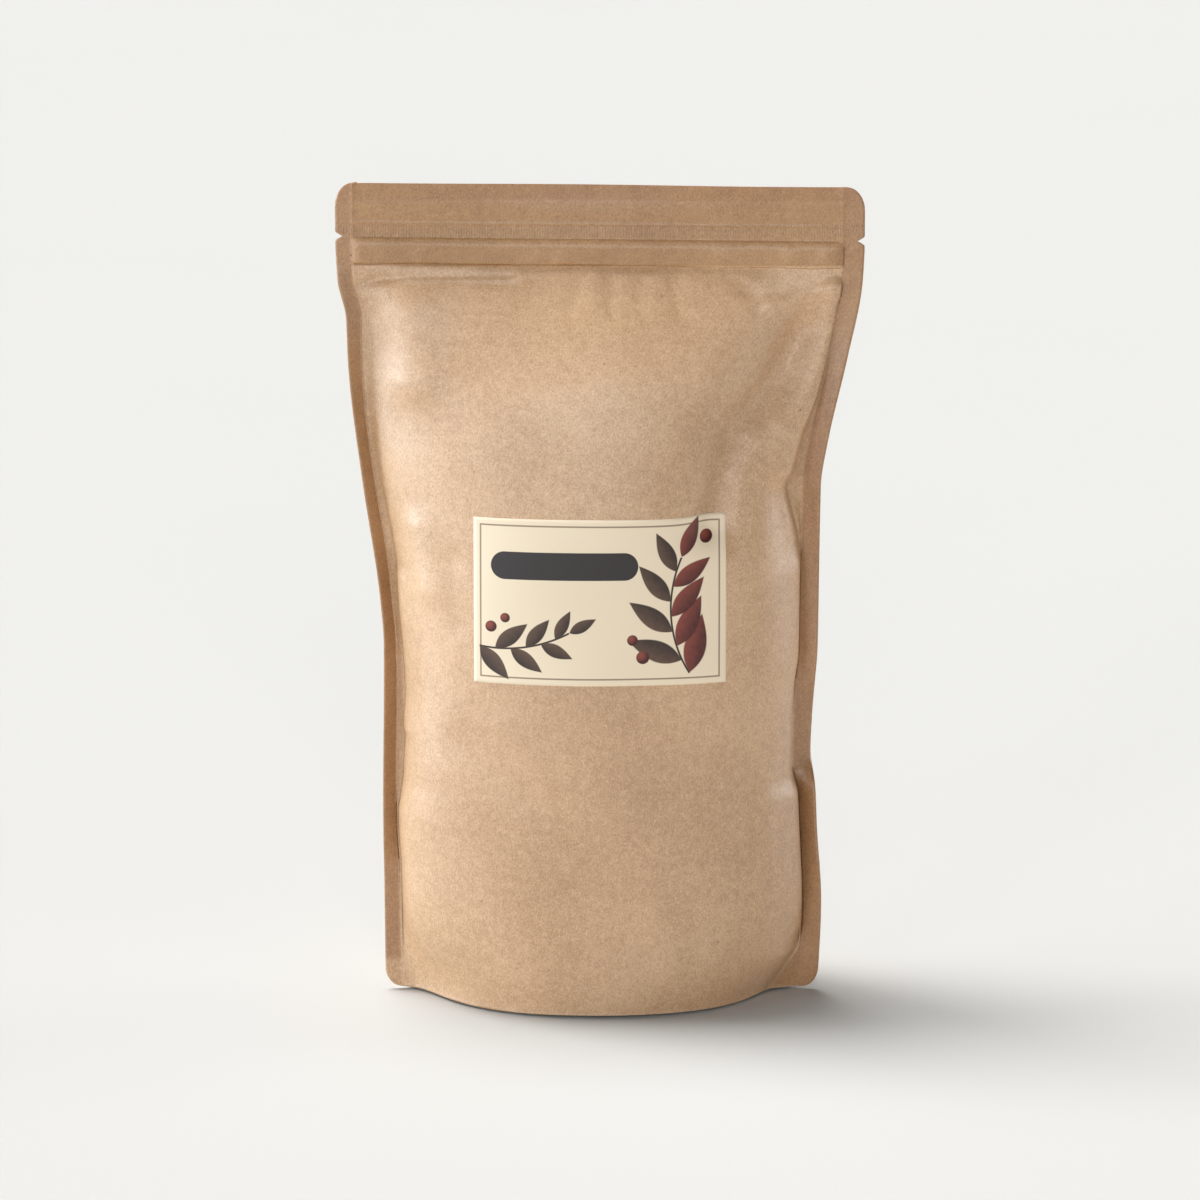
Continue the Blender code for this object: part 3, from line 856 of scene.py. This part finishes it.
def addGusset(frontInner, backInner, finish):
    x = np.linspace(*gusset["ends"], gusset["columns"])
    share = np.abs(x) / np.where(x < 0, -gusset["ends"][0], gusset["ends"][1])
    sealTop, floorZ = curve(gussetSealTop, share), curve(gussetFloor, share)
    climb = np.linspace(0, 1, gusset["sealRows"])
    height = liftAt(x)[:, None] * (1 - climb) + sealTop[:, None] * climb
    bendIn, bendUp = gusset["slopeBend"]
    halves = []
    for panel, face in ((front, frontInner), (back, backInner)):
        depth = [surfaceDepth(face, x[i:i + 1], height[i])[:, 0] for i in range(len(x))]
        depth = np.array(depth) * panel - gusset["clearance"]
        top = depth[:, -1]
        crest = np.minimum(gusset["crestReach"], top * gusset["crestMost"])
        slope = np.minimum(gusset["slopeReach"], top * gusset["slopeMost"])
        y = np.column_stack([depth, top - crest / 2, top - crest, top - crest - slope * bendIn, top - slope])
        z = np.column_stack([height, sealTop + gusset["crestRise"], sealTop,
                             floorZ + (sealTop - floorZ) * bendUp, floorZ])
        halves.append(np.stack([y * panel, z], 2))
    middle = np.stack([np.zeros(len(x)), floorZ + gusset["creaseRise"]], 1)[:, None]
    lip = np.stack([np.full(len(x), gusset["creaseReach"]), floorZ + gusset["floorGap"]], 1)[:, None]
    paths = np.concatenate([halves[0], lip * (-1, 1), middle, lip, halves[1][:, ::-1]], 1)
    under = np.array([rounded(path) for path in paths])
    grid = np.concatenate([np.repeat(x[:, None, None], under.shape[1], 1), under], 2)
    normal = gridNormals(grid, 1)
    upward = np.sign(normal[len(x) // 2, under.shape[1] // 2, 2])
    upper = grid + normal * upward * gusset["thickness"]
    grid[:, :, 2] = np.maximum(grid[:, :, 2], 0)
    return addSheet("gusset_sheet", upper, grid, finish, True)


# Beans: a lumpy filling, well inside the walls

beans = {
    "gap": 4.0,
    "sideGap": 9.0,
    "low": 9.0,
    "high": 206.0,
    "rows": 80,
    "round": 96,
    "foot": 12.0,          # height over which it narrows to its foot
    "footShare": 0.5,
    "dome": 16.0,          # and to its top
    "domeLeast": 0.02,
    "corners": (0.7, 0.55),  # less makes the outline squarer, sideways and forwards
    "lumps": {"seed": 41, "waves": (9, 16), "height": 0.02, "count": 24},  # a share of its width
    "lumpSlant": 0.7,
    "dark": rgb(38, 26, 20),
    "pale": rgb(84, 58, 42),
    "contrast": (0.3, 0.75),
    "wrinkle": {"scale": 260, "detail": 4, "roughness": 0.6, "stretch": (1, 1, 4)},
    "wrinkleHeight": 0.0006,  # metres
    "roughness": 0.5,
    "roughnessSpread": 0.3,
}


def beanFinish():
    made, shader, place = newMaterial("beans", beans["roughness"])
    wrinkle = place.noise(**beans["wrinkle"])
    plug(wrinkle.smooth(*beans["contrast"]).blend(beans["dark"], beans["pale"]), shader, "Base Color")
    roughBy(wrinkle, shader, beans["roughnessSpread"])
    press(wrinkle * beans["wrinkleHeight"], shader)
    return made


def beanLoop(height, ends, taper, faces):
    # one loop round the filling, its depth taken from the panels' inner faces
    turn = np.linspace(0, 2 * math.pi, beans["round"], endpoint=False)
    across, along = np.cos(turn), np.sin(turn)
    sideways, forwards = beans["corners"]
    x = np.where(across < 0, *ends) * np.sign(across) * np.abs(across) ** sideways * taper
    order = np.argsort(x)
    depth = np.empty((2, len(x)))
    for i, face in enumerate(faces):
        depth[i, order] = surfaceDepth(face, x[order], np.array([height]))[0]
    middle, half = depth.mean(0), (depth[1] - depth[0]) / 2 - beans["gap"]
    y = middle + np.maximum(half, 0) * np.sign(along) * np.abs(along) ** forwards * taper
    return np.stack([x, y, np.full(len(x), height)], 1)


def addBeans(frontInner, backInner):
    z = np.linspace(beans["low"], beans["high"], beans["rows"])
    share = beans["footShare"]
    taper = np.sqrt(np.clip((z - z[0]) / beans["foot"], 0, 1)) * (1 - share) + share
    taper = taper * np.sqrt(np.clip((z[-1] - z) / beans["dome"], beans["domeLeast"], 1))
    inset = {side: sealWidth[side] + beans["sideGap"] for side in (left, right)}
    points = []
    for i, height in enumerate(z):
        ends = [curve(sealEdge[side], height) - inset[side] for side in (left, right)]
        points.append(beanLoop(height, ends, taper[i], (frontInner, backInner)))
    grid = np.array(points)
    slanted = grid[:, :, 0] + grid[:, :, 1] * beans["lumpSlant"]
    lumps = ripple(slanted, grid[:, :, 2], **beans["lumps"])
    grid[:, :, :2] *= 1 - np.abs(lumps)[:, :, None]
    index = np.arange(len(z) * beans["round"]).reshape(len(z), -1)
    following = np.roll(index, -1, axis=1)
    quads = np.stack([index[:-1], following[:-1], following[1:], index[1:]], 2).reshape(-1, 4).tolist()
    caps = [index[0, ::-1].tolist(), index[-1].tolist()]
    return addMesh("bean_heap", grid.reshape(-1, 3), quads + caps, beanFinish())


# Zip: the two plastic strips inside the header keep the solids' shape

zipStrip = {
    "nodes": ("zip_channel", "zip_rail"),
    "milky": rgb(226, 222, 212),
    "clear": rgb(242, 239, 230),
    "haze": {"scale": 160, "detail": 3},
    "contrast": (0.3, 0.7),
    "roughness": 0.38,
    "roughnessSpread": 0.12,
    "drawLines": {"scale": 2600.0, "detail": 1, "stretch": (60, 1, 1)},  # along the strip, from its extrusion
    "lineHeight": 0.00001,  # metres
}


def dressZip():
    made, shader, place = newMaterial("zip_plastic", zipStrip["roughness"])
    haze = place.noise(**zipStrip["haze"])
    plug(haze.smooth(*zipStrip["contrast"]).blend(zipStrip["milky"], zipStrip["clear"]), shader, "Base Color")
    roughBy(haze, shader, zipStrip["roughnessSpread"])
    press(place.noise(**zipStrip["drawLines"]) * zipStrip["lineHeight"], shader)
    for name in zipStrip["nodes"]:
        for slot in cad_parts[name].material_slots:
            slot.material = made


kraftPaper = kraftFinish()
frontPanel, frontFace, frontInner = addPanel("pouch_front", front, frontFolds, frontTucks, kraftPaper)
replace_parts(frontPanel, "front_panel")
backPanel, _, backInner = addPanel("pouch_back", back, backFolds, backTucks, kraftPaper)
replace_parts(backPanel, "back_panel")
print("panels made")

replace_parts(addLabel(frontFace), "label")
print("label made")

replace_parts(addGusset(frontInner, backInner, kraftPaper), "bottom_gusset")
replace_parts(addBeans(frontInner, backInner), "bean_fill")
print("gusset and filling made")

dressZip()
print("zip dressed")


# Floor and light

studio = {
    "floor": rgb(190, 189, 186),
    "floorPale": rgb(192, 191, 188),
    "floorCloud": {"scale": 3},
    "floorRoughness": 0.9,
    "floorSize": 40.0,     # metres
    "skyColour": (1, 0.99, 0.97, 1),
    "skyPower": 0.02,
    "coolColour": (0.8, 0.91, 1.0),
    "suns": (  # azimuth 0 is the camera's side and -90 the left; spread is how soft it is, all in degrees
        {"name": "low_left", "azimuth": -90, "elevation": 5, "spread": 22, "power": 2.8, "cool": 1},
        {"name": "left_front", "azimuth": -64, "elevation": 6, "spread": 22, "power": 0.8, "cool": 1},
        {"name": "front", "azimuth": 0, "elevation": 20, "spread": 24, "power": 0.71},
        {"name": "front_left", "azimuth": -32, "elevation": 11, "spread": 20, "power": 0.62},
        {"name": "front_right", "azimuth": 48, "elevation": 13, "spread": 22, "power": 0.26},
        {"name": "back_top", "azimuth": -132, "elevation": 73, "spread": 26, "power": 1.9},
        {"name": "top", "azimuth": -160, "elevation": 80, "spread": 26, "power": 0.9},
        {"name": "left_top", "azimuth": -110, "elevation": 52, "spread": 26, "power": 2.15},
        {"name": "right_edge", "azimuth": 108, "elevation": 6, "spread": 22, "power": 1.1},
    ),
}


def addFloor():
    half = studio["floorSize"] / 2
    corners = [(-half, -half, 0), (half, -half, 0), (half, half, 0), (-half, half, 0)]
    mesh = bpy.data.meshes.new("floor")
    mesh.from_pydata(corners, [], [(0, 1, 2, 3)])
    made, shader, place = newMaterial("floor", studio["floorRoughness"])
    shader.inputs["Specular IOR Level"].default_value = 0
    cloud = place.noise(**studio["floorCloud"])
    plug(cloud.blend(studio["floor"], studio["floorPale"]), shader, "Base Color")
    mesh.materials.append(made)
    floor = bpy.data.objects.new("floor", mesh)
    bpy.context.scene.collection.objects.link(floor)


def addSun(name, azimuth, elevation, spread, power, cool=0):
    data = bpy.data.lights.new(name, "SUN")
    data.energy = power
    data.color = [1 - cool * (1 - channel) for channel in studio["coolColour"]]
    data.angle = math.radians(spread)
    obj = bpy.data.objects.new(name, data)
    turn, rise = math.radians(azimuth), math.radians(elevation)
    towards = Vector((math.sin(turn) * math.cos(rise), -math.cos(turn) * math.cos(rise), math.sin(rise)))
    obj.rotation_euler = towards.to_track_quat("Z", "Y").to_euler()
    bpy.context.scene.collection.objects.link(obj)


def addSky():
    world = bpy.data.worlds.new("studio")
    world.use_nodes = True
    background = world.node_tree.nodes["Background"]
    background.inputs["Color"].default_value = studio["skyColour"]
    background.inputs["Strength"].default_value = studio["skyPower"]
    bpy.context.scene.world = world


addFloor()
for sun in studio["suns"]:
    addSun(**sun)
addSky()
bpy.context.scene.view_settings.view_transform = "Standard"
print("studio lit")
